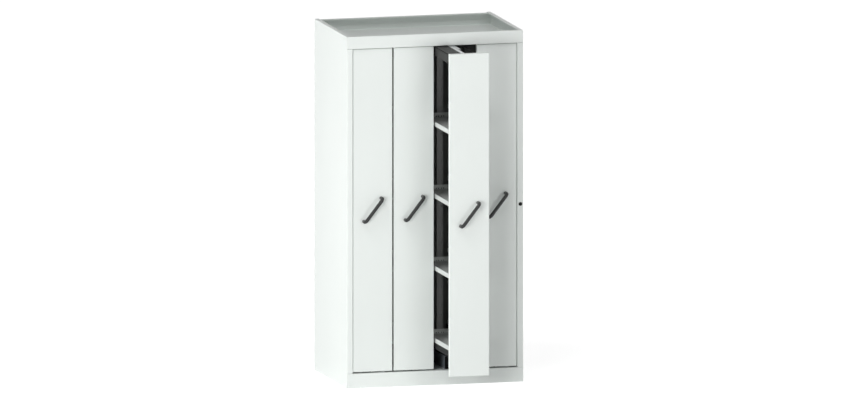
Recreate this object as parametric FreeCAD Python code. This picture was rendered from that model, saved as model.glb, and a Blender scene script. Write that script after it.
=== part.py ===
import FreeCAD, Part

import math
import os

# Vertical drawer cabinet for a laboratory, in millimetres.
# X runs to the right, Y to the rear and Z up; the origin lies on the ground under the middle.
# Drawer number three is pulled out half way and every other drawer is shut.

# Overall size
cabinet_width = 1000.0
cabinet_depth = 695.0
cabinet_height = 1950.0

# Folded steel of the carcass
sheet = 1.5
bend = 1.5
seam = 0.6
edge_strip = 10.0

# Front frame, rim and plinth
header_height = 69.0
plinth_height = 80.0
plinth_foot = 20.0
post_width = 33.0
rim_width = 25.0
rim_lip = 7.0
rear_return = 20.0
mitre_depth = 60.0
rear_rim_drop = 4.0

# Tray on top, floor pan and the channel below it
top_tray_depth = 68.0
top_tray_wall = 12.0
pan_flange = 30.0
channel_width = 120.0
channel_flange = 20.0
channel_setback = 90.0

# Through holes in the two sides, for fastening the cabinet to a wall or a neighbour
side_hole_diameter = 8.0
front_hole_inset = 55.0
rear_hole_inset = 39.0
front_hole_drop = 20.0
rear_hole_drop = 39.0
side_hole_rise = 32.5
drain_hole_diameter = 5.0
drain_hole_inset_x = 15.0
drain_hole_inset_y = 75.0

# Drawer fronts
drawer_count = 4
panel_gap = 10.0
panel_side_gap = 2.0
panel_top_gap = 3.5
panel_bottom_gap = 7.5
panel_recess = 10.0
panel_thickness = 20.0
panel_sheet = 1.5
panel_corner = 2.5
panel_return = 14.0
panel_rib_width = 70.0
panel_rib_margin = 30.0

# Drawer frame
frame_sheet = 2.0
upright_width = 35.0
upright_depth = 30.0
upright_lip = 8.0
rear_clearance = 22.0
hole_pitch = 50.0
hole_row_count = 29
hole_spread = 18.0
hole_width = 4.5
hole_height = 6.0
hole_first_rise = 5.4
top_beam_width = 72.0
top_beam_height = 53.0
top_beam_slit = 4.0
bottom_beam_height = 33.0
tie_height = 40.0
tie_reach = 40.0
tie_sheet = 3.0
top_clearance = 3.5

# Shelves in each drawer
shelf_count = 4
shelf_pitch = 400.0
shelf_height = 25.0
shelf_sheet = 1.5
shelf_notch_clearance = 0.5

# Floor guide of each drawer: fixed channel, sliding bar and drawer channel
floor_rail_width = 50.0
floor_rail_height = 70.0
floor_rail_wall = 3.0
floor_rail_offset = -24.5
floor_rail_setback = 45.0
rail_end_setback = 10.0
rail_slot = 16.0
carrier_width = 36.0
carrier_height = 41.0
carrier_gap = 8.0
bar_web = 8.0
bar_wall = 3.0
bar_setback = 50.0
bar_web_rise = 12.0
cap_thickness = 8.0
cap_chamfer = 5.0
cap_slot_rise = 8.0
cap_groove_width = 2.0
cap_groove_depth = 1.2
cap_groove_pitch = 4.0
cap_groove_count = 3
running_gap = 0.4

# Top guide of each drawer
top_rail_height = 45.0
top_rail_depth = 21.0
top_rail_wall = 2.0
top_rail_slot = 16.0
top_rail_gap = 2.5
top_rail_flange = 20.0
top_bar_web = 6.0
top_bar_wall = 2.0

# Travel
clear_travel = 20.0
open_drawer = 3
pull_out = 300.0

# Tilted bow handles
handle_height = 985.0
handle_spacing = 160.0
handle_tilt = 52.0
handle_diameter = 20.0
handle_sides = 12
handle_bend_steps = 4
handle_standoff = 41.5
handle_bend = 18.0

# Key lock in the right post, with its rod and locking bar
lock_height = 986.0
lock_collar_diameter = 20.0
lock_collar_thickness = 3.0
lock_body_diameter = 16.0
lock_body_length = 24.0
lock_bore_diameter = 12.0
lock_nut_size = 21.0
lock_nut_thickness = 5.0
lock_fit = 0.08
lock_hole_clearance = 0.25
key_slot_width = 1.8
key_slot_height = 8.0
key_slot_depth = 5.0
crank_radius = 12.0
crank_pin_diameter = 6.0
crank_width = 11.0
crank_end = 4.5
crank_angle = 45.0
crank_play = 0.6
flat_bar = 4.0
flat_bar_play = 0.4
lock_plane = 36.0
rod_width = 10.0
rod_side_gap = 2.5
yoke_height = 20.0
yoke_wall = 3.4
wedge_width = 36.0
wedge_height = 36.0
wedge_margin = 6.5
lock_bar_height = 20.0
lock_bar_rise = 40.0
lock_bar_overhang = 6.0
finger_width = 10.0
finger_rise = 30.0
finger_offset = 67.0
finger_slot_clearance = 1.0
catch_width = 18.0
catch_offset = 49.0
catch_sheet = 3.0
catch_gap = 4.0
catch_rise = 12.0
catch_foot = 25.0
guide_sheet = 2.0
guide_length = 15.0
guide_flange = 14.0
rod_guide_heights = (300.0, 800.0)

# Planes and places that follow from the sizes above
left = -cabinet_width / 2
right = cabinet_width / 2
front = -cabinet_depth / 2
rear = cabinet_depth / 2
opening_top = cabinet_height - header_height
tray_top = cabinet_height - top_tray_depth
tray_bottom = tray_top - sheet
post_depth = panel_recess + panel_thickness
frame_front = front + post_depth
frame_rear = rear - 2 * sheet - rear_clearance
shelf_rear = frame_rear - upright_depth
drawer_travel = shelf_rear - frame_front - upright_depth + clear_travel

panel_room = cabinet_width - 2 * post_width - 2 * panel_side_gap
panel_width = (panel_room - (drawer_count - 1) * panel_gap) / drawer_count
panel_bottom = plinth_height + panel_bottom_gap
panel_top = opening_top - panel_top_gap
first_centre = left + post_width + panel_side_gap + panel_width / 2
drawer_centres = [first_centre + number * (panel_width + panel_gap) for number in range(drawer_count)]

carrier_bottom = plinth_height + floor_rail_height + carrier_gap
beam_bottom = carrier_bottom + carrier_height
shelf_base = beam_bottom + bottom_beam_height
drawer_top = tray_bottom - top_clearance
top_beam_bottom = drawer_top - top_beam_height
top_guide_left = -panel_width / 2 + top_beam_width
top_guide_bottom = drawer_top - top_rail_height
rail_front = front + floor_rail_setback
rail_rear = frame_rear - rail_end_setback

lock_x = right - post_width / 2
lock_travel = 2 * crank_radius * math.sin(math.radians(crank_angle))
bar_front = front + lock_plane
bar_back = bar_front + flat_bar
rod_front = bar_back + flat_bar_play
rod_back = rod_front + flat_bar
rod_right = right - sheet - rod_side_gap
rod_left = rod_right - rod_width
pin_z = lock_bar_rise + lock_bar_height / 2
pin_x = rod_right - rod_width


def vector(axis, across, up, along=0.0):
    # The two flat coordinates run in X, Y, Z order across the axis, the third runs along it.
    if axis == "x":
        return FreeCAD.Vector(along, across, up)
    if axis == "y":
        return FreeCAD.Vector(across, along, up)
    return FreeCAD.Vector(across, up, along)


def unit(x, y):
    length = math.hypot(x, y)
    return x / length, y / length


def outline(points, radii, axis, along):
    # A closed outline whose corners are rounded by arcs of the given radii.
    edges = []
    count = len(points)
    ends = []
    for number, corner in enumerate(points):
        before = points[number - 1]
        after = points[(number + 1) % count]
        radius = radii[number]
        if radius <= 0:
            ends.append((corner, None, corner))
            continue
        back = unit(before[0] - corner[0], before[1] - corner[1])
        ahead = unit(after[0] - corner[0], after[1] - corner[1])
        half = math.acos(back[0] * ahead[0] + back[1] * ahead[1]) / 2
        setback = radius / math.tan(half)
        inward = unit(back[0] + ahead[0], back[1] + ahead[1])
        reach = radius / math.sin(half) - radius
        start = (corner[0] + back[0] * setback, corner[1] + back[1] * setback)
        middle = (corner[0] + inward[0] * reach, corner[1] + inward[1] * reach)
        end = (corner[0] + ahead[0] * setback, corner[1] + ahead[1] * setback)
        ends.append((start, middle, end))
    for number, (start, middle, end) in enumerate(ends):
        if middle is not None:
            arc = Part.Arc(vector(axis, *start, along), vector(axis, *middle, along), vector(axis, *end, along))
            edges.append(arc.toShape())
        following = ends[(number + 1) % count][0]
        if math.hypot(following[0] - end[0], following[1] - end[1]) > 1e-6:
            line = Part.LineSegment(vector(axis, *end, along), vector(axis, *following, along))
            edges.append(line.toShape())
    return Part.Wire(edges)


def prism(points, axis, start, end, radius=0.0):
    # An outline carried straight along an axis; one radius for all corners or a list of radii.
    radii = radius if isinstance(radius, list) else [radius] * len(points)
    face = Part.Face(outline(points, radii, axis, start))
    return face.extrude(vector(axis, 0.0, 0.0, end - start))


def rectangle(low_across, high_across, low_up, high_up):
    return [
        (low_across, low_up),
        (high_across, low_up),
        (high_across, high_up),
        (low_across, high_up),
    ]


def block(low_x, high_x, low_y, high_y, low_z, high_z):
    return prism(rectangle(low_x, high_x, low_y, high_y), "z", low_z, high_z)


def cylinder(axis, across, up, start, end, diameter):
    base = vector(axis, across, up, start)
    return Part.makeCylinder(diameter / 2, end - start, base, vector(axis, 0.0, 0.0, 1.0))


def folded(points, axis, start, end, thickness=sheet, radius=bend):
    # Folded sheet: the points follow one face and the metal lies on their left; radius 0 folds it sharp.
    outer_radius = radius + thickness if radius > 0 else 0.0
    other = []
    near = []
    far = []
    last = len(points) - 1
    for number, point in enumerate(points):
        normals = []
        if number > 0:
            step = unit(point[0] - points[number - 1][0], point[1] - points[number - 1][1])
            normals.append((-step[1], step[0]))
        if number < last:
            step = unit(points[number + 1][0] - point[0], points[number + 1][1] - point[1])
            normals.append((-step[1], step[0]))
        if len(normals) == 1:
            shift = normals[0]
            near.append(0.0)
            far.append(0.0)
        else:
            first, second = normals
            scale = 1 + first[0] * second[0] + first[1] * second[1]
            shift = ((first[0] + second[0]) / scale, (first[1] + second[1]) / scale)
            turns_left = first[0] * second[1] - first[1] * second[0] > 0
            near.append(outer_radius if turns_left else radius)
            far.append(radius if turns_left else outer_radius)
        other.append((point[0] + shift[0] * thickness, point[1] + shift[1] * thickness))
    return prism(points + other[::-1], axis, start, end, near + far[::-1])


def joined(*shapes):
    return shapes[0].fuse(list(shapes[1:])).removeSplitter()


def mirrored(shape):
    return shape.mirror(FreeCAD.Vector(0, 0, 0), FreeCAD.Vector(1, 0, 0))


def moved(shape, x=0.0, y=0.0, z=0.0):
    return shape.translated(FreeCAD.Vector(x, y, z))


def rounded_slot(axis, first, second, diameter, start, end):
    # A slot with half-round ends between two centres.
    along = unit(second[0] - first[0], second[1] - first[1])
    side = (-along[1] * diameter / 2, along[0] * diameter / 2)
    body = prism([
        (first[0] + side[0], first[1] + side[1]),
        (first[0] - side[0], first[1] - side[1]),
        (second[0] - side[0], second[1] - side[1]),
        (second[0] + side[0], second[1] + side[1]),
    ], axis, start, end)
    return joined(
        body,
        cylinder(axis, *first, start, end, diameter),
        cylinder(axis, *second, start, end, diameter),
    )


def open_pan(points, base, height, thickness):
    # A tray of sheet metal: a floor and upright walls round its outline, with mitred corners.
    shell = outline(points, [0.0] * len(points), "z", base + thickness)
    inner = shell.makeOffset2D(-thickness, 2)
    return prism(points, "z", base, base + height).cut(Part.Face(inner).extrude(FreeCAD.Vector(0, 0, height)))


def crown(axis, low, high, top):
    # Wall, rim and down-turned lip of the top's edge; the flat coordinate is counted from outside.
    return folded([
        (rim_width, top - rim_lip),
        (rim_width, top),
        (0.0, top),
        (0.0, opening_top),
    ], axis, low, high)


def mitred(shape, points, low_z, high_z):
    return shape.common(prism(points, "z", low_z, high_z))


def front_region():
    return [
        (left, front),
        (right, front),
        (right - mitre_depth, front + mitre_depth),
        (left + mitre_depth, front + mitre_depth),
    ]


def left_region():
    return [
        (left, front),
        (left + mitre_depth, front + mitre_depth),
        (left + mitre_depth, rear),
        (left, rear),
    ]


def make_left_side():
    strip_front = front + edge_strip
    strip_rear = rear - sheet - edge_strip
    skin = block(left, left + sheet, strip_front, strip_rear, 0.0, opening_top)
    foot_strip = prism([
        (left, front),
        (left + sheet, front + sheet),
        (left + sheet, strip_front),
        (left, strip_front),
    ], "z", 0.0, plinth_height)
    post = folded([
        (left, strip_front),
        (left, front),
        (left + post_width, front),
        (left + post_width, frame_front),
    ], "z", plinth_height + seam, opening_top - seam)
    rear_flange = folded([
        (left + rear_return, rear - sheet),
        (left, rear - sheet),
        (left, strip_rear),
    ], "z", 0.0, tray_bottom)
    rear_strip = block(left, left + sheet, strip_rear, rear - sheet, tray_bottom, opening_top)
    edge = moved(crown("y", front, rear - sheet, cabinet_height), x=left)
    rim = mitred(edge, left_region(), opening_top, cabinet_height)
    side = joined(skin, foot_strip, post, rear_flange, rear_strip, rim)
    holes = [
        (front + front_hole_inset, cabinet_height - front_hole_drop),
        (rear - rear_hole_inset, cabinet_height - rear_hole_drop),
        (front + front_hole_inset, side_hole_rise),
        (rear - rear_hole_inset, side_hole_rise),
    ]
    for y, z in holes:
        side = side.cut(cylinder("x", y, z, left - sheet, left + 2 * sheet, side_hole_diameter))
    return side


def make_right_side():
    side = mirrored(make_left_side())
    hole_diameter = lock_body_diameter + 2 * lock_hole_clearance
    return side.cut(cylinder("y", lock_x, lock_height, front - sheet, front + 2 * sheet, hole_diameter))


def make_header():
    profile = folded([
        (front + rim_width, cabinet_height - rim_lip),
        (front + rim_width, cabinet_height),
        (front, cabinet_height),
        (front, opening_top),
        (frame_front, opening_top),
    ], "x", left, right)
    return mitred(profile, front_region(), opening_top, cabinet_height)


def make_plinth():
    profile = folded([
        (frame_front, plinth_height),
        (front, plinth_height),
        (front, 0.0),
        (front + plinth_foot, 0.0),
    ], "x", left, right)
    return mitred(profile, front_region(), 0.0, plinth_height)


def make_back_panel():
    # The rear rim lies a little lower than the side rims and butts between them.
    rim_top = cabinet_height - rear_rim_drop
    inner_left = left + rim_width
    inner_right = right - rim_width
    plate = block(left, right, rear - sheet, rear, 0.0, opening_top)
    left_ear = block(left, inner_left, rear - sheet, rear, opening_top, rim_top)
    right_ear = block(inner_right, right, rear - sheet, rear, opening_top, rim_top)
    rim = crown("x", inner_left, inner_right, rim_top)
    rim = rim.mirror(FreeCAD.Vector(0, 0, 0), FreeCAD.Vector(0, 1, 0))
    return joined(plate, left_ear, right_ear, moved(rim, y=rear))


def make_top_tray():
    floor = rectangle(left + sheet, right - sheet, frame_front, rear - sheet)
    tray = open_pan(floor, tray_bottom, top_tray_wall + sheet, sheet)
    drain = cylinder(
        "z",
        right - drain_hole_inset_x,
        rear - drain_hole_inset_y,
        tray_bottom - sheet,
        tray_top + sheet,
        drain_hole_diameter,
    )
    return tray.cut(drain)


def make_floor_pan():
    pan_rear = rear - 2 * sheet - bend
    pan = folded([
        (pan_rear, plinth_height - pan_flange),
        (pan_rear, plinth_height),
        (frame_front, plinth_height),
        (frame_front, plinth_height - pan_flange),
    ], "x", left + sheet, right - sheet, sheet, 0.0)
    slots = [block(
        rod_left - finger_slot_clearance,
        rod_right + finger_slot_clearance,
        rod_front - finger_slot_clearance,
        rod_back + finger_slot_clearance,
        plinth_height - 2 * sheet,
        plinth_height + sheet,
    )]
    for centre in drawer_centres:
        slots.append(block(
            centre + finger_offset - finger_width / 2 - lock_travel - finger_slot_clearance,
            centre + finger_offset + finger_width / 2 + finger_slot_clearance,
            bar_front - finger_slot_clearance,
            bar_back + finger_slot_clearance,
            plinth_height - 2 * sheet,
            plinth_height + sheet,
        ))
    return pan.cut(slots)


def make_base_channel():
    top = plinth_height - 2 * sheet
    half = channel_width / 2
    return folded([
        (-half - channel_flange, top),
        (-half, top),
        (-half, 0.0),
        (half, 0.0),
        (half, top),
        (half + channel_flange, top),
    ], "y", front + channel_setback, rear - 3 * sheet - 2 * bend, sheet, 0.0)


def guide_channel(low_across, high_across, low_up, high_up, wall, slot, mouth, start, end):
    # A C-shaped channel along Y whose slot opens towards the named side.
    outer = prism(rectangle(low_across, high_across, low_up, high_up), "y", start, end)
    inner = block(low_across + wall, high_across - wall, start, end, low_up + wall, high_up - wall)
    middle_across = (low_across + high_across) / 2
    middle_up = (low_up + high_up) / 2
    if mouth == "top":
        cut = block(middle_across - slot / 2, middle_across + slot / 2, start, end, middle_up, high_up)
    elif mouth == "bottom":
        cut = block(middle_across - slot / 2, middle_across + slot / 2, start, end, low_up, middle_up)
    elif mouth == "right":
        cut = block(middle_across, high_across, start, end, middle_up - slot / 2, middle_up + slot / 2)
    else:
        cut = block(low_across, middle_across, start, end, middle_up - slot / 2, middle_up + slot / 2)
    return outer.cut([inner, cut])


def tube(low_across, high_across, low_up, high_up, wall, start, end):
    outer = prism(rectangle(low_across, high_across, low_up, high_up), "y", start, end)
    inner = block(low_across + wall, high_across - wall, start, end, low_up + wall, high_up - wall)
    return outer.cut(inner)


def make_floor_rail():
    low = floor_rail_offset - floor_rail_width / 2
    high = floor_rail_offset + floor_rail_width / 2
    top = plinth_height + floor_rail_height
    start = rail_front + cap_thickness
    return guide_channel(low, high, plinth_height, top, floor_rail_wall, rail_slot, "top", start, rail_rear)


def make_rail_cap():
    low = floor_rail_offset - floor_rail_width / 2
    high = floor_rail_offset + floor_rail_width / 2
    top = plinth_height + floor_rail_height
    slot_low = floor_rail_offset - rail_slot / 2
    slot_high = floor_rail_offset + rail_slot / 2
    slot_base = plinth_height + cap_slot_rise
    cap = prism([
        (low, plinth_height),
        (high, plinth_height),
        (high, top - cap_chamfer),
        (high - cap_chamfer, top),
        (slot_high, top),
        (slot_high, slot_base),
        (slot_low, slot_base),
        (slot_low, top),
        (low + cap_chamfer, top),
        (low, top - cap_chamfer),
    ], "y", rail_front, rail_front + cap_thickness)
    grooves = []
    for side in (-1, 1):
        for number in range(cap_groove_count):
            middle = floor_rail_offset + side * (rail_slot / 2 + (number + 1) * cap_groove_pitch)
            grooves.append(block(
                middle - cap_groove_width / 2,
                middle + cap_groove_width / 2,
                rail_front,
                rail_front + cap_groove_depth,
                plinth_height + cap_groove_pitch,
                top - cap_groove_pitch * 2,
            ))
    return cap.cut(grooves)


def make_floor_bar():
    # Web through the slots, tube in the drawer channel and a shorter tube in the fixed channel.
    start = front + bar_setback
    middle = floor_rail_offset
    low = plinth_height + floor_rail_wall + running_gap
    high = plinth_height + floor_rail_height - floor_rail_wall - running_gap
    half = floor_rail_width / 2 - floor_rail_wall - running_gap
    upper_low = carrier_bottom + floor_rail_wall + running_gap
    upper_high = beam_bottom - floor_rail_wall - running_gap
    upper_half = carrier_width / 2 - floor_rail_wall - running_gap
    truck_start = rail_front + cap_thickness + drawer_travel / 2 + running_gap
    web_base = plinth_height + bar_web_rise
    web = block(
        middle - bar_web / 2,
        middle + bar_web / 2,
        start,
        rail_rear,
        web_base,
        upper_low + bar_wall,
    )
    upper = tube(middle - upper_half, middle + upper_half, upper_low, upper_high, bar_wall, start, rail_rear)
    truck = tube(middle - half, middle + half, low, high, bar_wall, truck_start, rail_rear)
    return joined(web, upper, truck)


def make_drawer_carrier():
    low = floor_rail_offset - carrier_width / 2
    high = floor_rail_offset + carrier_width / 2
    start = frame_front + 2 * sheet
    return guide_channel(
        low, high, carrier_bottom, beam_bottom, floor_rail_wall, rail_slot, "bottom", start, shelf_rear
    )


def make_top_carrier():
    high = top_guide_left + top_rail_depth
    start = frame_front + 2 * sheet
    return guide_channel(
        top_guide_left, high, top_guide_bottom, drawer_top, top_rail_wall, top_rail_slot, "right", start, shelf_rear
    )


def make_top_rail():
    low = top_guide_left + top_rail_depth + top_rail_gap
    high = low + top_rail_depth
    channel = guide_channel(
        low, high, top_guide_bottom, drawer_top, top_rail_wall, top_rail_slot, "left", rail_front, rail_rear
    )
    hanger = folded([
        (high + top_rail_flange, tray_bottom),
        (high - top_rail_wall, tray_bottom),
        (high - top_rail_wall, drawer_top - top_rail_wall * 3),
    ], "y", rail_front, rail_rear, top_rail_wall, 0.0)
    return joined(channel, hanger)


def make_top_bar():
    # Two tubes joined by a flat web; one runs in each top channel.
    low = top_guide_bottom + top_rail_wall + running_gap
    high = drawer_top - top_rail_wall - running_gap
    middle = (top_guide_bottom + drawer_top) / 2
    start = front + bar_setback
    first_low = top_guide_left + top_rail_wall + running_gap
    first_high = top_guide_left + top_rail_depth - top_rail_wall - running_gap
    step = top_rail_depth + top_rail_gap
    first = tube(first_low, first_high, low, high, top_bar_wall, start, rail_rear)
    second = moved(first, x=step)
    web = block(
        first_high - top_bar_wall,
        first_low + step + top_bar_wall,
        start,
        rail_rear,
        middle - top_bar_web / 2,
        middle + top_bar_web / 2,
    )
    return joined(first, second, web)


def make_front_panel():
    # A folded pan, open at the back, with a rib down its middle.
    half = panel_width / 2
    panel_front = front + panel_recess
    outer = block(-half, half, panel_front, frame_front, panel_bottom, panel_top)
    rounded = [edge for edge in outer.Edges if edge.BoundBox.YMax < frame_front - panel_sheet]
    outer = outer.makeFillet(panel_corner, rounded)
    inner = block(
        -half + panel_sheet,
        half - panel_sheet,
        panel_front + panel_sheet,
        frame_front - panel_sheet,
        panel_bottom + panel_sheet,
        panel_top - panel_sheet,
    )
    window = block(
        -half + panel_return,
        half - panel_return,
        frame_front - 2 * panel_sheet,
        frame_front + panel_sheet,
        panel_bottom + panel_return,
        panel_top - panel_return,
    )
    pan = outer.cut([inner, window])
    rib_half = panel_rib_width / 2
    rib = folded([
        (-rib_half - panel_return, panel_front + panel_sheet),
        (-rib_half, panel_front + panel_sheet),
        (-rib_half, frame_front - panel_sheet),
        (rib_half, frame_front - panel_sheet),
        (rib_half, panel_front + panel_sheet),
        (rib_half + panel_return, panel_front + panel_sheet),
    ], "z", panel_bottom + panel_rib_margin, panel_top - panel_rib_margin, panel_sheet, 0.0)
    return Part.makeCompound([pan, rib])


def make_handle():
    # A bow handle of round bar: rings of points go up the leg, round each bend and down again.
    half = handle_spacing / 2
    centre_up = handle_standoff - handle_bend
    quarter = [math.pi / 2 * step / handle_bend_steps for step in range(handle_bend_steps + 1)]
    stations = [(-half, 0.0, 0.0)]
    for turn in quarter:
        across = handle_bend - half - handle_bend * math.cos(turn)
        stations.append((across, centre_up + handle_bend * math.sin(turn), turn))
    stations += [(-across, up, math.pi - turn) for across, up, turn in reversed(stations)]
    rings = []
    for across, up, turn in stations:
        ring = []
        for number in range(handle_sides):
            angle = 2 * math.pi * (number + 0.5) / handle_sides
            outward = -handle_diameter / 2 * math.cos(angle)
            sideways = handle_diameter / 2 * math.sin(angle)
            ring.append(FreeCAD.Vector(
                across + outward * math.cos(turn),
                sideways,
                up - outward * math.sin(turn),
            ))
        rings.append(ring)
    faces = [Part.Face(Part.makePolygon(ring + ring[:1])) for ring in (rings[0], rings[-1])]
    for ring, following in zip(rings, rings[1:]):
        for number in range(handle_sides):
            corners = [ring[number - 1], ring[number], following[number], following[number - 1]]
            faces.append(Part.Face(Part.makePolygon(corners + corners[:1])))
    handle = Part.Solid(Part.Shell(faces))
    if handle.Volume < 0:
        handle.reverse()
    handle.rotate(FreeCAD.Vector(0, 0, 0), FreeCAD.Vector(1, 0, 0), 90)
    handle.rotate(FreeCAD.Vector(0, 0, 0), FreeCAD.Vector(0, 1, 0), -handle_tilt)
    return moved(handle, y=front + panel_recess, z=handle_height)


def beam_wall_room(y):
    # Room at the foot of an upright for the end wall of the bottom beam.
    half = upright_width / 2 + sheet
    return block(-half, half, y - sheet, y + sheet, beam_bottom, shelf_base)


def upright(web_y, open_y, low_z, high_z):
    # A lipped channel whose web carries the shelves; its open side looks the other way.
    half = upright_width / 2
    side = 1 if open_y > web_y else -1
    points = [
        (half - upright_lip, open_y),
        (half, open_y),
        (half, web_y),
        (-half, web_y),
        (-half, open_y),
        (-half + upright_lip, open_y),
    ]
    if side < 0:
        points = points[::-1]
    return folded(points[::-1], "z", low_z, high_z, frame_sheet, 0.0)


def make_rear_upright():
    # Rows of holes start at the lowest shelf and repeat at one pitch up the upright.
    shape = upright(shelf_rear, frame_rear, beam_bottom + sheet, top_beam_bottom)
    holes = [beam_wall_room(frame_rear)]
    for number in range(hole_row_count):
        z = shelf_base + hole_first_rise + number * hole_pitch
        for x in (-hole_spread / 2, hole_spread / 2):
            holes.append(block(
                x - hole_width / 2,
                x + hole_width / 2,
                shelf_rear - frame_sheet,
                shelf_rear + 2 * frame_sheet,
                z - hole_height / 2,
                z + hole_height / 2,
            ))
    return shape.cut(holes)


def make_front_upright():
    shape = upright(frame_front + upright_depth, frame_front, beam_bottom + sheet, top_beam_bottom)
    return shape.cut(beam_wall_room(frame_front))


def make_top_beam():
    # A folded box with a slit along its upper left edge, and a welded tie plate at each end.
    beam_left = -panel_width / 2
    box = folded([
        (beam_left, drawer_top - frame_sheet - top_beam_slit),
        (beam_left, top_beam_bottom),
        (top_guide_left, top_beam_bottom),
        (top_guide_left, drawer_top),
        (beam_left, drawer_top),
    ], "y", frame_front, frame_rear, frame_sheet, 0.0)
    pieces = [box]
    for low_y in (frame_front + upright_depth, shelf_rear - tie_sheet):
        pieces.append(block(
            top_guide_left - tie_reach,
            upright_width / 2,
            low_y,
            low_y + tie_sheet,
            top_beam_bottom - tie_height,
            top_beam_bottom,
        ))
    return Part.makeCompound(pieces)


def make_bottom_beam():
    # A shallow pan under the lowest shelf, and the welded strip that the lock blocks.
    half = panel_width / 2
    base = rectangle(-half, half, frame_front, frame_rear)
    pan = open_pan(base, beam_bottom, bottom_beam_height, sheet)
    catch_y = bar_back + catch_gap
    strip = folded([
        (catch_y + catch_foot, beam_bottom),
        (catch_y, beam_bottom),
        (catch_y, plinth_height + catch_rise),
    ], "x", catch_offset - catch_width / 2, catch_offset + catch_width / 2, catch_sheet)
    return Part.makeCompound([pan, strip])


def make_shelves():
    # Each shelf is a floor with a notch round the front upright, and walls that stand on its edges.
    half = panel_width / 2
    inner = half - shelf_sheet
    notch = upright_width / 2 + shelf_notch_clearance
    notch_back = frame_front + upright_depth
    floor_top = shelf_base + shelf_sheet
    top = shelf_base + shelf_height
    floor = prism([
        (-half, frame_front),
        (-notch, frame_front),
        (-notch, notch_back),
        (notch, notch_back),
        (notch, frame_front),
        (half, frame_front),
        (half, shelf_rear),
        (-half, shelf_rear),
    ], "z", shelf_base, floor_top)
    walls = [
        block(-half, -inner, frame_front, shelf_rear, floor_top, top),
        block(inner, half, frame_front, shelf_rear, floor_top, top),
        block(-inner, inner, shelf_rear - shelf_sheet, shelf_rear, floor_top, top),
        block(-inner, -notch, frame_front, frame_front + shelf_sheet, floor_top, top),
        block(notch, inner, frame_front, frame_front + shelf_sheet, floor_top, top),
    ]
    shapes = [moved(item, z=number * shelf_pitch) for number in range(shelf_count) for item in [floor] + walls]
    return Part.makeCompound(shapes)


def make_lock_housing():
    body = cylinder("y", lock_x, lock_height, front, front + lock_body_length, lock_body_diameter)
    collar = cylinder("y", lock_x, lock_height, front - lock_collar_thickness, front, lock_collar_diameter)
    edge = [item for item in collar.Edges if abs(item.BoundBox.YMax - front + lock_collar_thickness) < 1e-6]
    collar = collar.makeChamfer(lock_collar_thickness / 3, edge)
    bore_start = front - 2 * lock_collar_thickness
    bore_end = front + lock_body_length + sheet
    bore = cylinder("y", lock_x, lock_height, bore_start, bore_end, lock_bore_diameter)
    housing = joined(body, collar).cut(bore)
    corner = lock_nut_size / 2 / math.cos(math.radians(30))
    hexagon = []
    for number in range(6):
        angle = math.radians(30 + 60 * number)
        hexagon.append((lock_x + corner * math.cos(angle), lock_height + corner * math.sin(angle)))
    nut_start = front + sheet
    nut = prism(hexagon, "y", nut_start, nut_start + lock_nut_thickness)
    hole = cylinder(
        "y", lock_x, lock_height, nut_start - sheet, nut_start + 2 * lock_nut_thickness,
        lock_body_diameter + 2 * lock_hole_clearance,
    )
    return [housing, nut.cut(hole)]


def make_lock_core():
    # Core with its key slot, crank arm behind it and the pin that drives the rod.
    core_front = front - lock_collar_thickness + sheet / 2
    core = cylinder(
        "y", lock_x, lock_height, core_front, bar_front, lock_bore_diameter - 2 * lock_fit
    )
    key_slot = block(
        lock_x - key_slot_width / 2,
        lock_x + key_slot_width / 2,
        core_front - sheet,
        core_front + key_slot_depth,
        lock_height - key_slot_height / 2,
        lock_height + key_slot_height / 2,
    )
    arm = block(
        lock_x - crank_radius - crank_end,
        lock_x + crank_end,
        bar_front - flat_bar_play,
        bar_back,
        lock_height - crank_width / 2,
        lock_height + crank_width / 2,
    )
    pin = cylinder("y", lock_x - crank_radius, lock_height, bar_back, rod_back + sheet, crank_pin_diameter)
    crank = joined(arm, pin)
    crank.rotate(FreeCAD.Vector(lock_x, 0, lock_height), FreeCAD.Vector(0, 1, 0), -crank_angle)
    return joined(core.cut(key_slot), crank)


def make_lock_rod():
    # Yoke at the crank, flat rod in the corner and a wedge plate with a slanted slot below the floor.
    pin_across = crank_radius * math.cos(math.radians(crank_angle))
    yoke_z = lock_height - pin_across
    yoke_base = yoke_z - yoke_height / 2
    slot_low = lock_x - crank_radius - crank_pin_diameter / 2 - crank_play
    slot_high = lock_x - pin_across + crank_pin_diameter / 2 + crank_play
    window_half = crank_pin_diameter / 2 + crank_play
    yoke = block(slot_low - yoke_wall, rod_right, rod_front, rod_back, yoke_base, yoke_base + yoke_height)
    window = block(slot_low, slot_high, rod_front, rod_back, yoke_z - window_half, yoke_z + window_half)
    wedge_top = pin_z + crank_pin_diameter / 2 + wedge_margin
    rod = block(rod_left, rod_right, rod_front, rod_back, wedge_top, yoke_base)
    wedge = block(
        rod_right - wedge_width, rod_right, rod_front, rod_back, wedge_top - wedge_height, wedge_top
    )
    slot = rounded_slot(
        "y",
        (pin_x, pin_z),
        (pin_x - lock_travel, pin_z - lock_travel),
        crank_pin_diameter + 2 * flat_bar_play,
        rod_front - sheet,
        rod_back + sheet,
    )
    return Part.makeCompound([yoke.cut(window), rod, wedge.cut(slot)])


def make_lock_bar():
    # Flat bar below the floor with a welded finger for each drawer and the pin in the slanted slot.
    bar_left = drawer_centres[0] + finger_offset - finger_width / 2 - lock_bar_height
    bar_top = lock_bar_rise + lock_bar_height
    bar = block(bar_left, pin_x + lock_bar_overhang, bar_front, bar_back, lock_bar_rise, bar_top)
    pin = cylinder("y", pin_x, pin_z, bar_back, rod_back + sheet, crank_pin_diameter)
    pieces = [joined(bar, pin)]
    for centre in drawer_centres:
        low = centre + finger_offset - finger_width / 2
        pieces.append(block(low, low + finger_width, bar_front, bar_back, bar_top, plinth_height + finger_rise))
    return Part.makeCompound(pieces)


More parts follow.
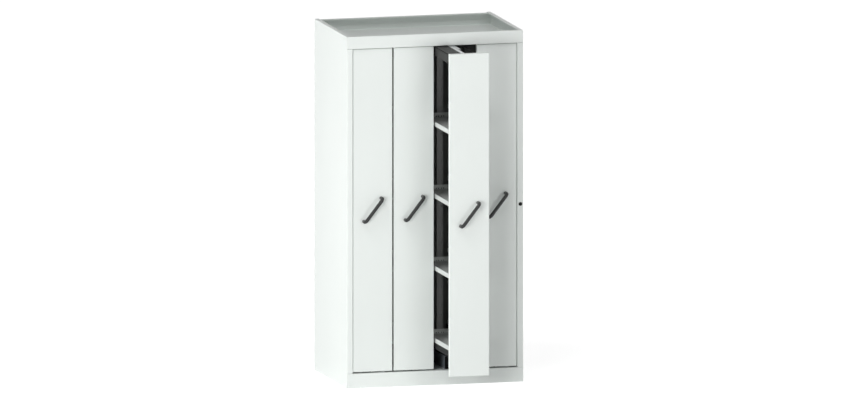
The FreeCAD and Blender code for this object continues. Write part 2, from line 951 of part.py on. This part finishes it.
def make_lock_guides():
    # Folded hooks: three hang below the floor round the bar, two hold the rod in the corner.
    gap = flat_bar_play
    ceiling = plinth_height - sheet
    hooks = []
    for centre in drawer_centres[1:]:
        low = centre - guide_length / 2 + floor_rail_offset
        hooks.append(folded([
            (bar_back + gap + guide_flange, ceiling),
            (bar_back + gap, ceiling),
            (bar_back + gap, lock_bar_rise - gap),
            (bar_front - gap, lock_bar_rise - gap),
            (bar_front - gap, lock_bar_rise + lock_bar_height),
        ], "x", low, low + guide_length, guide_sheet, 0.0))
    for z in rod_guide_heights:
        hooks.append(folded([
            (right - sheet, rod_back + gap + guide_flange),
            (right - sheet, rod_back + gap),
            (rod_left - gap, rod_back + gap),
            (rod_left - gap, rod_front - gap),
            (rod_right - rod_side_gap, rod_front - gap),
        ][::-1], "z", z, z + guide_length, guide_sheet, 0.0))
    return hooks


def repeated(shape):
    return Part.makeCompound([moved(shape, x=centre) for centre in drawer_centres])


carcass_pieces = {
    "left_side_panel": make_left_side(),
    "right_side_panel": make_right_side(),
    "back_panel": make_back_panel(),
    "header": make_header(),
    "plinth": make_plinth(),
    "top_tray": make_top_tray(),
    "floor_pan": make_floor_pan(),
    "base_channel": make_base_channel(),
    "floor_rails": repeated(make_floor_rail()),
    "floor_rail_caps": repeated(make_rail_cap()),
    "top_rails": repeated(make_top_rail()),
    "lock_fittings": Part.makeCompound(make_lock_housing() + make_lock_guides()),
    "lock_core": make_lock_core(),
    "lock_rod": make_lock_rod(),
    "lock_bar": make_lock_bar(),
}

# Pieces of one drawer on the middle line, in the shut position
drawer_pieces = {
    "front_panel": make_front_panel(),
    "handle": make_handle(),
    "front_upright": make_front_upright(),
    "rear_upright": make_rear_upright(),
    "top_beam": make_top_beam(),
    "bottom_beam": make_bottom_beam(),
    "shelves": make_shelves(),
    "floor_carrier": make_drawer_carrier(),
    "top_carrier": make_top_carrier(),
}

# Bars between the fixed rails and the drawer, which travel half as far as the drawer
sliding_bars = {
    "floor_bar": make_floor_bar(),
    "top_bar": make_top_bar(),
}

os.makedirs("parts", exist_ok=True)
for name, shape in carcass_pieces.items():
    shape.exportStep("parts/" + name + ".step")
for number, centre in enumerate(drawer_centres, start=1):
    out = pull_out if number == open_drawer else 0.0
    for name, shape in drawer_pieces.items():
        moved(shape, x=centre, y=-out).exportStep("parts/drawer_%d_%s.step" % (number, name))
    for name, shape in sliding_bars.items():
        moved(shape, x=centre, y=-out / 2).exportStep("parts/drawer_%d_%s.step" % (number, name))
print("drawer travel %.1f, lock travel %.2f" % (drawer_travel, lock_travel))
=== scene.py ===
import math

import bpy
import numpy as np
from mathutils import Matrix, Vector


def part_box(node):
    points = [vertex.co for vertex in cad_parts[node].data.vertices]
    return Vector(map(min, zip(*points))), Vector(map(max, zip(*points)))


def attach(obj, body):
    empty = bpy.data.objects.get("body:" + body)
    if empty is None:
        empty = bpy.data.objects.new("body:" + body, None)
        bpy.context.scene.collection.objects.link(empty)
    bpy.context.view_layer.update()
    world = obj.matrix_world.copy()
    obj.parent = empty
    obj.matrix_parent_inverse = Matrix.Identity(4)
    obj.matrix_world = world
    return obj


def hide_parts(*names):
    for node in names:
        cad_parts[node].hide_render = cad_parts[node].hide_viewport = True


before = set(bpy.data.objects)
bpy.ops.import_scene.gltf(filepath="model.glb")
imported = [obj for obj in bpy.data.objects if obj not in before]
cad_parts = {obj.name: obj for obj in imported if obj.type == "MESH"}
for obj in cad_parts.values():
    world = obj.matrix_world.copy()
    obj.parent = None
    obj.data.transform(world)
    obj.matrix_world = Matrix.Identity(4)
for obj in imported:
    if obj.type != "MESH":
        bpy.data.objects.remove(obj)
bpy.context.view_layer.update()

drawers = [1, 2, 3, 4]
scene = bpy.context.scene
scene.view_settings.view_transform = "Standard"

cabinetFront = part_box("header")[0][1]


# Camera: a parallel view from the left front, as in the photograph

viewpoint = {
    "azimuth": -14.85,  # degrees round the cabinet, minus is to its left
    "elevation": 8.745,
    "width": 4.683,  # metres across the picture
    "middleX": -0.046,  # point of the front plane in the picture's middle
    "middleZ": 1.001,
    "distance": 9.0,
}


def makeCamera(spec):
    data = bpy.data.cameras.new("camera")
    data.type = "ORTHO"
    data.ortho_scale = spec["width"]
    data.clip_end = 60.0
    camera = bpy.data.objects.new("camera", data)
    scene.collection.objects.link(camera)
    turn, rise = math.radians(spec["azimuth"]), math.radians(spec["elevation"])
    back = Vector((math.sin(turn) * math.cos(rise), -math.cos(turn) * math.cos(rise), math.sin(rise)))
    camera.location = Vector((spec["middleX"], cabinetFront, spec["middleZ"])) + back * spec["distance"]
    camera.rotation_euler = (-back).to_track_quat("-Z", "Y").to_euler()
    scene.camera = camera


makeCamera(viewpoint)
print("camera placed")


# Light: tall soft boxes round the front, none higher than the cabinet's top, and two soft lamps above

light = {
    "boxes": [  # degrees round the cabinet, height of the middle, width and height in metres, watts
        (-88.0, 0.95, 2.0, 1.7, 108.0),
        (-44.0, 0.95, 2.0, 1.7, 66.0),
        (-34.0, 1.40, 2.0, 1.1, 79.0),
        (20.0, 1.40, 2.0, 1.1, 40.0),
    ],
    "boxDistance": 6.0,
    "boxCentreY": -0.1,
    "lamps": [  # degrees round the cabinet, degrees up, strength
        (-44.0, 55.0, 0.756),
        (40.0, 55.0, 0.30),
    ],
    "lampSpread": 25.0,  # degrees, for soft shadows
    "room": 0.137,  # strength of the light from all round
    "background": 1.0,  # white, only where it is seen or reflected
    "floorColour": (0.80, 0.80, 0.80, 1.0),
    "floorGlow": 0.75,  # added where the camera looks, so that the floor fades to white
    "floorSize": 40.0,
}


def seenDirectly(tree):
    # 1 where the camera, a reflection or a view through glass looks, 0 for light that falls on the object.
    path = tree.nodes.new("ShaderNodeLightPath")
    first = tree.nodes.new("ShaderNodeMath")
    second = tree.nodes.new("ShaderNodeMath")
    first.operation = second.operation = "MAXIMUM"
    tree.links.new(path.outputs["Is Camera Ray"], first.inputs[0])
    tree.links.new(path.outputs["Is Glossy Ray"], first.inputs[1])
    tree.links.new(first.outputs[0], second.inputs[0])
    tree.links.new(path.outputs["Is Transmission Ray"], second.inputs[1])
    return second.outputs[0]


def addLamp(name, kind, towards):
    # A lamp shines along its own minus Z, so that axis is turned along the given direction.
    data = bpy.data.lights.new(name, kind)
    lamp = bpy.data.objects.new(name, data)
    scene.collection.objects.link(lamp)
    lamp.rotation_euler = towards.to_track_quat("-Z", "Y").to_euler()
    return lamp, data


def makeLights(spec):
    for number, (turn, height, width, tall, watts) in enumerate(spec["boxes"]):
        away = Vector((math.sin(math.radians(turn)), -math.cos(math.radians(turn)), 0.0))
        box, data = addLamp("soft_box_%d" % number, "AREA", -away)
        box.location = Vector((0.0, spec["boxCentreY"], height)) + away * spec["boxDistance"]
        box.visible_camera = False
        box.visible_glossy = turn > 0.0  # the boxes on the left would only glare in the left side
        data.shape = "RECTANGLE"
        data.size = width
        data.size_y = tall
        data.energy = watts
    for number, (turn, rise, strength) in enumerate(spec["lamps"]):
        turn, rise = math.radians(turn), math.radians(rise)
        away = Vector((math.sin(turn) * math.cos(rise), -math.cos(turn) * math.cos(rise), math.sin(rise)))
        data = addLamp("soft_lamp_%d" % number, "SUN", -away)[1]
        data.energy = strength
        data.angle = math.radians(spec["lampSpread"])

    world = bpy.data.worlds.new("white_room")
    scene.world = world
    world.use_nodes = True
    tree = world.node_tree
    background = tree.nodes["Background"]
    strength = tree.nodes.new("ShaderNodeMapRange")
    strength.inputs["To Min"].default_value = spec["room"]
    strength.inputs["To Max"].default_value = spec["background"]
    tree.links.new(seenDirectly(tree), strength.inputs["Value"])
    tree.links.new(strength.outputs["Result"], background.inputs["Strength"])
    background.inputs["Color"].default_value = (1.0, 1.0, 1.0, 1.0)


def makeFloor(spec):
    half = spec["floorSize"] / 2
    mesh = bpy.data.meshes.new("floor")
    corners = [(-half, -half, 0.0), (half, -half, 0.0), (half, half, 0.0), (-half, half, 0.0)]
    mesh.from_pydata(corners, [], [(0, 1, 2, 3)])
    floor = bpy.data.objects.new("floor", mesh)
    scene.collection.objects.link(floor)
    material = bpy.data.materials.new("pale_floor")
    material.use_nodes = True
    tree = material.node_tree
    shader = tree.nodes["Principled BSDF"]
    shader.inputs["Base Color"].default_value = spec["floorColour"]
    shader.inputs["Roughness"].default_value = 1.0
    shader.inputs["Specular IOR Level"].default_value = 0.0
    glow = tree.nodes.new("ShaderNodeMath")
    glow.operation = "MULTIPLY"
    glow.inputs[1].default_value = spec["floorGlow"]
    tree.links.new(seenDirectly(tree), glow.inputs[0])
    shader.inputs["Emission Color"].default_value = (1.0, 1.0, 1.0, 1.0)
    tree.links.new(glow.outputs[0], shader.inputs["Emission Strength"])
    mesh.materials.append(material)


makeLights(light)
makeFloor(light)
print("lights and floor placed")


# Shared shader groups


def newGroup(name, inputs, outputs):
    group = bpy.data.node_groups.new(name, "ShaderNodeTree")
    for label, kind, value in inputs:
        socket = group.interface.new_socket(label, in_out="INPUT", socket_type=kind)
        if value is not None:
            socket.default_value = value
    for label, kind in outputs:
        group.interface.new_socket(label, in_out="OUTPUT", socket_type=kind)
    entry = group.nodes.new("NodeGroupInput")
    leave = group.nodes.new("NodeGroupOutput")
    return group, entry.outputs, leave.inputs


def addNode(tree, kind, links=(), **values):
    node = tree.nodes.new(kind)
    for label, value in values.items():
        if hasattr(node, label):
            setattr(node, label, value)
        else:
            node.inputs[label.replace("_", " ")].default_value = value
    for label, output in links:
        tree.links.new(output, node.inputs[label])
    return node


def calculate(tree, operation, first, second, kind="ShaderNodeMath"):
    # One arithmetic node; either value is the output of another node or a plain number.
    node = tree.nodes.new(kind)
    node.operation = operation
    for place, value in enumerate((first, second)):
        if isinstance(value, bpy.types.NodeSocket):
            tree.links.new(value, node.inputs[place])
        else:
            node.inputs[place].default_value = value
    return node.outputs[0]


def mixColours(tree, factor, first, second):
    # The mixing node keeps its colour sockets behind those for numbers and vectors, under the same labels.
    firstColour, secondColour, mixedColour = 6, 7, 2
    node = addNode(tree, "ShaderNodeMix", [("Factor", factor)], data_type="RGBA")
    for place, value in ((firstColour, first), (secondColour, second)):
        if isinstance(value, bpy.types.NodeSocket):
            tree.links.new(value, node.inputs[place])
        else:
            node.inputs[place].default_value = value
    return node.outputs[mixedColour]


def makePaintGroup(dustColour=(0.55, 0.55, 0.53, 1.0)):
    # Sprayed paint: cloudy tone, fine orange peel and a little dust on whatever faces up.
    number, colour = "NodeSocketFloat", "NodeSocketColor"
    group, entry, leave = newGroup("sprayed_paint", [
        ("Colour", colour, (0.8, 0.8, 0.8, 1.0)),
        ("Tone Spread", number, 0.03),
        ("Roughness", number, 0.4),
        ("Peel Size", number, 450.0),
        ("Peel Height", number, 0.1),
        ("Dust", number, 0.05),
    ], [("Colour", colour), ("Roughness", number), ("Normal", "NodeSocketVector")])
    place = addNode(group, "ShaderNodeTexCoord").outputs["Object"]

    # Gain of the tone: one plus the spread times the cloud's distance from its mean of a half.
    cloud = addNode(group, "ShaderNodeTexNoise", [("Vector", place)], Scale=3.1, Detail=5.0)
    tone = calculate(group, "SUBTRACT", cloud.outputs["Fac"], 0.5)
    gain = calculate(group, "ADD", calculate(group, "MULTIPLY", tone, entry["Tone Spread"]), 1.0)
    tinted = addNode(group, "ShaderNodeVectorMath", [
        (0, entry["Colour"]), ("Scale", gain)
    ], operation="SCALE").outputs[0]

    # Dust starts where the Z part of a face's normal passes 0.55, is full where it is 1, and is broken up by
    # fine specks.
    facing = addNode(group, "ShaderNodeSeparateXYZ", [
        (0, addNode(group, "ShaderNodeNewGeometry").outputs["Normal"])
    ])
    above = addNode(group, "ShaderNodeMapRange", [("Value", facing.outputs["Z"])], From_Min=0.55)
    speck = addNode(group, "ShaderNodeTexNoise", [("Vector", place)], Scale=38.0, Detail=6.0)
    settled = calculate(group, "MULTIPLY", above.outputs[0], speck.outputs["Fac"])
    dust = calculate(group, "MULTIPLY", settled, entry["Dust"])
    group.links.new(mixColours(group, dust, tinted, dustColour), leave["Colour"])
    group.links.new(calculate(group, "ADD", entry["Roughness"], dust), leave["Roughness"])

    peel = addNode(group, "ShaderNodeTexNoise", [
        ("Vector", place), ("Scale", entry["Peel Size"])
    ], Detail=2.0)
    bump = addNode(group, "ShaderNodeBump", [
        ("Height", peel.outputs["Fac"]), ("Strength", entry["Peel Height"])
    ], Distance=0.0004)
    group.links.new(bump.outputs["Normal"], leave["Normal"])
    return group


def makeDrawnGroup():
    # Drawn or rolled metal: fine lines that run along Y, with a soft spread of tone and roughness.
    number, colour = "NodeSocketFloat", "NodeSocketColor"
    group, entry, leave = newGroup("drawn_metal", [
        ("Colour", colour, (0.4, 0.4, 0.4, 1.0)),
        ("Line Contrast", number, 0.15),
        ("Roughness", number, 0.35),
        ("Line Height", number, 0.15),
    ], [("Colour", colour), ("Roughness", number), ("Normal", "NodeSocketVector")])
    place = addNode(group, "ShaderNodeTexCoord").outputs["Object"]
    stretched = addNode(group, "ShaderNodeMapping", [("Vector", place)], Scale=(1.0, 0.02, 1.0))
    lines = addNode(group, "ShaderNodeTexNoise", [
        ("Vector", stretched.outputs[0])
    ], Scale=900.0, Detail=3.0)
    cloud = addNode(group, "ShaderNodeTexNoise", [("Vector", place)], Scale=9.0, Detail=4.0)

    # Lines and cloud each have a mean of a half, so their sum less one swings about nought.
    both = calculate(group, "ADD", lines.outputs["Fac"], cloud.outputs["Fac"])
    change = calculate(group, "MULTIPLY", calculate(group, "SUBTRACT", both, 1.0), entry["Line Contrast"])
    tinted = addNode(group, "ShaderNodeVectorMath", [
        (0, entry["Colour"]), ("Scale", calculate(group, "ADD", change, 1.0))
    ], operation="SCALE")
    group.links.new(tinted.outputs[0], leave["Colour"])
    group.links.new(calculate(group, "ADD", entry["Roughness"], change), leave["Roughness"])
    bump = addNode(group, "ShaderNodeBump", [
        ("Height", lines.outputs["Fac"]), ("Strength", entry["Line Height"])
    ], Distance=0.0003)
    group.links.new(bump.outputs["Normal"], leave["Normal"])
    return group


def makeZoneGroup():
    # 1 inside a box given by two opposite corners: the least distance to its six faces is above nought.
    corner = "NodeSocketVector"
    group, entry, leave = newGroup("boxed_zone", [
        ("Low", corner, None),
        ("High", corner, None),
    ], [("Mask", "NodeSocketFloat")])
    place = addNode(group, "ShaderNodeTexCoord").outputs["Object"]
    above = calculate(group, "SUBTRACT", place, entry["Low"], "ShaderNodeVectorMath")
    below = calculate(group, "SUBTRACT", entry["High"], place, "ShaderNodeVectorMath")
    both = calculate(group, "MINIMUM", above, below, "ShaderNodeVectorMath")
    parts = addNode(group, "ShaderNodeSeparateXYZ", [(0, both)]).outputs
    least = calculate(group, "MINIMUM", calculate(group, "MINIMUM", parts["X"], parts["Y"]), parts["Z"])
    group.links.new(calculate(group, "GREATER_THAN", least, 0.0), leave["Mask"])
    return group


paintGroup = makePaintGroup()
drawnGroup = makeDrawnGroup()
zoneGroup = makeZoneGroup()
print("shader groups made")


# Finishes

whitePaint = {
    "Colour": (0.845, 0.888, 0.862, 1.0), "Tone Spread": 0.03, "Roughness": 0.42,
    "Peel Size": 420.0, "Peel Height": 0.10, "Dust": 0.06,
}
shelfPaint = {
    "Colour": (0.640, 0.665, 0.647, 1.0), "Tone Spread": 0.04, "Roughness": 0.38,
    "Peel Size": 420.0, "Peel Height": 0.12, "Dust": 0.08,
}
beamPaint = {
    "Colour": (0.050, 0.051, 0.050, 1.0), "Tone Spread": 0.06, "Roughness": 0.26,
    "Peel Size": 380.0, "Peel Height": 0.16, "Dust": 0.02,
}
# The bottom beam gets a darker copy of the beam paint: painted shade for the low, shaded beam.
shadedLowBeamPaint = {**beamPaint, "Colour": (0.022, 0.023, 0.023, 1.0), "Roughness": 0.30}
uprightPaint = {**beamPaint, "Colour": (0.240, 0.243, 0.240, 1.0), "Roughness": 0.40}
handlePaint = {
    "Colour": (0.028, 0.029, 0.029, 1.0), "Tone Spread": 0.08, "Roughness": 0.36,
    "Peel Size": 600.0, "Peel Height": 0.14, "Dust": 0.01,
}
capPlastic = {
    "Colour": (0.004, 0.004, 0.0045, 1.0), "Tone Spread": 0.10, "Roughness": 0.55,
    "Peel Size": 900.0, "Peel Height": 0.30, "Dust": 0.01,
}
lockPaint = {
    "Colour": (0.005, 0.005, 0.005, 1.0), "Tone Spread": 0.10, "Roughness": 0.45,
    "Peel Size": 900.0, "Peel Height": 0.08, "Dust": 0.0,
}
guideSteel = {
    "Colour": (0.300, 0.335, 0.375, 1.0), "Line Contrast": 0.30, "Roughness": 0.34, "Line Height": 0.20,
}
zincSteel = {
    "Colour": (0.70, 0.71, 0.72, 1.0), "Line Contrast": 0.12, "Roughness": 0.32, "Line Height": 0.04,
}
rivetSteel = {
    "Colour": (0.020, 0.020, 0.021, 1.0), "Line Contrast": 0.20, "Roughness": 0.40, "Line Height": 0.10,
}

# The carcass is white outside and in its tray. The room for the drawers, given by two corners in metres, gets
# painted shade: a dark grey that stands in for the shade inside the cabinet.
drawerRoom = {"Low": (-0.4993, -0.3180, 0.0785), "High": (0.4993, 0.3468, 1.8812)}
paintedShadeColour = (0.250, 0.252, 0.252, 1.0)


def makeFinish(name, group, spec, metallic=0.0, coat=0.0, specular=0.5):
    material = bpy.data.materials.new(name)
    material.use_nodes = True
    tree = material.node_tree
    shader = tree.nodes["Principled BSDF"]
    surface = tree.nodes.new("ShaderNodeGroup")
    surface.node_tree = group
    for label, value in spec.items():
        surface.inputs[label].default_value = value
    tree.links.new(surface.outputs["Colour"], shader.inputs["Base Color"])
    tree.links.new(surface.outputs["Roughness"], shader.inputs["Roughness"])
    tree.links.new(surface.outputs["Normal"], shader.inputs["Normal"])
    shader.inputs["Metallic"].default_value = metallic
    shader.inputs["Coat Weight"].default_value = coat
    shader.inputs["Specular IOR Level"].default_value = specular
    return material, surface


def makeZonedFinish(name, spec, zoneBox, inside, coat=0.0):
    # The finish of a piece, with another colour for all of it that lies inside a box.
    material, surface = makeFinish(name, paintGroup, spec, coat=coat)
    tree = material.node_tree
    zone = tree.nodes.new("ShaderNodeGroup")
    zone.node_tree = zoneGroup
    for label, value in zoneBox.items():
        zone.inputs[label].default_value = value
    colour = mixColours(tree, zone.outputs["Mask"], spec["Colour"], inside)
    tree.links.new(colour, surface.inputs["Colour"])
    return material


def paint(names, material):
    for name in names:
        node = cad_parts[name]
        if not node.material_slots:
            node.data.materials.append(material)
        for materialSlot in node.material_slots:
            materialSlot.material = material


def perDrawer(*names):
    return ["drawer_%d_%s" % (number, name) for number in drawers for name in names]


whiteFinish = makeFinish("white_paint", paintGroup, whitePaint, coat=0.05)[0]
# Inside the drawer room this finish swaps the white for painted shade.
carcassPaintAndShade = makeZonedFinish("carcass_paint_and_painted_shade", whitePaint, drawerRoom, paintedShadeColour, coat=0.05)
shelfFinish = makeFinish("shelf_paint", paintGroup, shelfPaint, coat=0.05)[0]
beamFinish = makeFinish("beam_paint", paintGroup, beamPaint, specular=0.01)[0]
shadedLowBeamFinish = makeFinish("low_beam_painted_shade", paintGroup, shadedLowBeamPaint, specular=0.01)[0]
uprightFinish = makeFinish("upright_paint", paintGroup, uprightPaint)[0]
handleFinish = makeFinish("handle_paint", paintGroup, handlePaint, specular=0.35)[0]
capFinish = makeFinish("cap_plastic", paintGroup, capPlastic, specular=0.15)[0]
lockFinish = makeFinish("lock_paint", paintGroup, lockPaint, specular=0.12)[0]
guideFinish = makeFinish("guide_steel", drawnGroup, guideSteel, metallic=0.3)[0]
zincFinish = makeFinish("zinc_steel", drawnGroup, zincSteel, metallic=0.7)[0]
rivetFinish = makeFinish("rivet_steel", drawnGroup, rivetSteel, metallic=0.3)[0]

paint(["header", "plinth", "floor_pan", "base_channel"], whiteFinish)
# The side panels, back panel and tray carry the painted shade inside the drawer room.
paint(["left_side_panel", "right_side_panel", "back_panel", "top_tray"], carcassPaintAndShade)
paint(perDrawer("front_panel"), whiteFinish)
paint(perDrawer("shelves"), shelfFinish)
paint(perDrawer("front_upright", "rear_upright"), uprightFinish)
paint(perDrawer("top_beam"), beamFinish)
# The bottom beams carry the darker copy of the beam paint, which is painted shade.
paint(perDrawer("bottom_beam"), shadedLowBeamFinish)
paint(perDrawer("floor_carrier", "floor_bar"), guideFinish)
paint(perDrawer("top_carrier", "top_bar"), zincFinish)
paint(["top_rails", "lock_rod", "lock_bar"], zincFinish)
paint(["floor_rails"], guideFinish)
paint(["floor_rail_caps"], capFinish)
paint(["lock_fittings", "lock_core"], lockFinish)
print("finishes assigned")


# Pieces worked out with numpy


def ringMesh(name, forms, material, flatEnds):
    # Each form is a stack of rings, rows by columns, and the two points that its ends close on. Quads join the
    # rings and a fan of triangles closes each end.
    points, faces, smooth = [], [], []
    for rings, first, last in forms:
        rows, columns = rings.shape[:2]
        index = len(points) + np.arange(rows * columns).reshape(rows, columns)
        ahead = np.roll(index, -1, axis=1)
        points += rings.reshape(-1, 3).tolist() + [list(first), list(last)]
        firstTip = np.full(columns, index[-1, -1] + 1)
        lastTip = firstTip + 1
        sides = np.stack([index[:-1], ahead[:-1], ahead[1:], index[1:]], axis=-1).reshape(-1, 4)
        foot = np.stack([firstTip, ahead[0], index[0]], axis=-1)
        head = np.stack([lastTip, index[-1], ahead[-1]], axis=-1)
        for patch, flat in ((sides, False), (foot, flatEnds[0]), (head, flatEnds[1])):
            faces += patch.tolist()
            smooth += [not flat] * len(patch)
    mesh = bpy.data.meshes.new(name)
    mesh.from_pydata(points, [], faces)
    mesh.polygons.foreach_set("use_smooth", smooth)
    mesh.update()
    mesh.materials.append(material)
    piece = bpy.data.objects.new(name, mesh)
    scene.collection.objects.link(piece)
    return piece


handle = {
    "spacing": 0.160,  # between the middles of the legs
    "standoff": 0.0415,  # from the panel to the middle of the grip
    "bend": 0.018,
    "diameter": 0.0193,
    "tilt": 52.0,  # degrees from level, up to the right
    "around": 40,  # points in a ring
    "alongBend": 14,  # rings in a bend
}


def bowPath(spec):
    # Leg, quarter circle, grip, quarter circle, leg. On a quarter circle the distance from the handle's middle
    # is half the spacing less the bend plus the bend times the cosine, and the height off the panel is the
    # standoff less the bend plus the bend times the sine.
    half, bend = spec["spacing"] / 2, spec["bend"]
    turn = np.linspace(0.0, math.pi / 2, spec["alongBend"])
    across = np.concatenate([[-half], -half + bend - bend * np.cos(turn)])
    away = np.concatenate([[0.0], spec["standoff"] - bend + bend * np.sin(turn)])
    lean = np.concatenate([[0.0], turn])
    return (
        np.concatenate([across, -across[::-1]]),
        np.concatenate([away, away[::-1]]),
        np.concatenate([lean, math.pi - lean[::-1]]),
    )


def makeHandle(number, spec):
    # A ring of the bar's radius is carried along the path and leans with it. The feet close on the path's ends.
    low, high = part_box("drawer_%d_handle" % number)
    across, away, lean = bowPath(spec)
    tilt = math.radians(spec["tilt"])
    middle = (np.array(low) + np.array(high)) / 2

    def place(along, sideways, depth):
        x = middle[0] + along * math.cos(tilt) - sideways * math.sin(tilt)
        z = middle[2] + along * math.sin(tilt) + sideways * math.cos(tilt)
        return np.stack([x, high[1] - depth, z], axis=-1)

    angle = np.linspace(0.0, 2 * math.pi, spec["around"], endpoint=False)
    outward = -spec["diameter"] / 2 * np.cos(angle)
    sideways = np.broadcast_to(-spec["diameter"] / 2 * np.sin(angle), (len(across), spec["around"]))
    along = across[:, None] + outward * np.cos(lean)[:, None]
    depth = away[:, None] - outward * np.sin(lean)[:, None]
    feet = place(across[[0, -1]], np.zeros(2), away[[0, -1]])
    form = (place(along, sideways, depth), feet[0], feet[1])
    piece = ringMesh("drawer_%d_bow_handle" % number, [form], handleFinish, (True, True))
    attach(piece, "drawer_%d" % number)
    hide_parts("drawer_%d_handle" % number)


for number in drawers:
    makeHandle(number, handle)
print("handles made")


rivet = {
    "diameter": 0.006,
    "height": 0.0012,
    "across": (-0.021, -0.009, 0.009, 0.021),  # from the drawer's middle line
    "rise": 0.0054,  # above the shelf's underside
    "around": 12,
    "rings": 4,
    "shelves": 4,
    "pitch": 0.400,  # from shelf to shelf
    "wall": 0.0015,
}


def makeShelfRivets(number, spec):
    # Domed heads on the rear wall of each shelf: a quarter sine profile turned about the line along Y.
    low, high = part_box("drawer_%d_shelves" % number)
    middleX = (low[0] + high[0]) / 2
    wallY = high[1] - spec["wall"]
    turn = np.linspace(0.0, 2 * math.pi, spec["around"], endpoint=False)
    climb = np.linspace(0.0, math.pi / 2, spec["rings"], endpoint=False)
    radius = spec["diameter"] / 2 * np.cos(climb)
    out = spec["height"] * np.sin(climb)
    head = np.stack([
        radius[:, None] * np.cos(turn),
        -out[:, None] * np.ones_like(turn),
        radius[:, None] * np.sin(turn),
    ], axis=-1)
    forms = []
    for shelf in range(spec["shelves"]):
        for across in spec["across"]:
            place = np.array([middleX + across, wallY, low[2] + spec["rise"] + shelf * spec["pitch"]])
            forms.append((head + place, place, place - np.array([0.0, spec["height"], 0.0])))
    piece = ringMesh("drawer_%d_shelf_rivets" % number, forms, rivetFinish, (True, False))
    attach(piece, "drawer_%d" % number)


for number in drawers:
    makeShelfRivets(number, rivet)
print("shelf rivets made")
